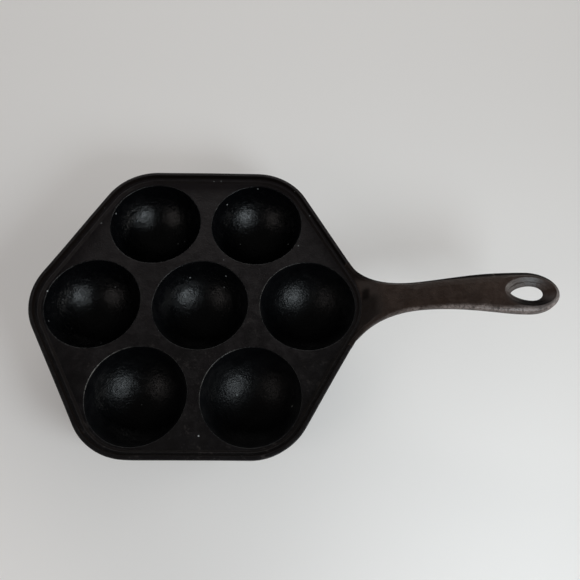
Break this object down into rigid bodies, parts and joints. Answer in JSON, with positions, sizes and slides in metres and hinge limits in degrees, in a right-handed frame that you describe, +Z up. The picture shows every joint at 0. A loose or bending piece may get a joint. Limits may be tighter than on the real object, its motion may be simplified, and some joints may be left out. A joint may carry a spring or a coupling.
{
  "type": "aebleskiver pan",
  "caption": "Hexagonal cast-iron pan with ball-shaped wells, a raised stepped rim, and a rising handle that ends in a dished, egg-shaped hanging hole.",
  "frame": {"origin": "centre of the hexagon on the plane that the pan stands on, at the foot of the middle cup", "axes": "+Z up, +X out along the handle, +Y to the left of someone who holds the handle towards themselves"},
  "size_m": [0.3033, 0.1808, 0.0562],
  "materials": {
    "pan_iron": "seasoned black cast iron, satin, slightly worn on the rim",
    "well_iron": "deep black seasoned cast iron with a fine orange-peel skin and a soft sheen",
    "handle_iron": "warm dark brown seasoned cast iron, smoother and a little glossier than the pan"
  },
  "bodies": {
    "root": {"deck_plate": "pan_iron", "rim_wall": "pan_iron", "well_cup_centre": "well_iron", "well_cup_right": "well_iron", "well_cup_rear_right": "well_iron", "well_cup_rear_left": "well_iron", "well_cup_left": "well_iron", "well_cup_front_left": "well_iron", "well_cup_front_right": "well_iron", "handle_neck": "handle_iron", "handle_grip": "handle_iron", "handle_eye": "handle_iron"}
  },
  "joints": []
}
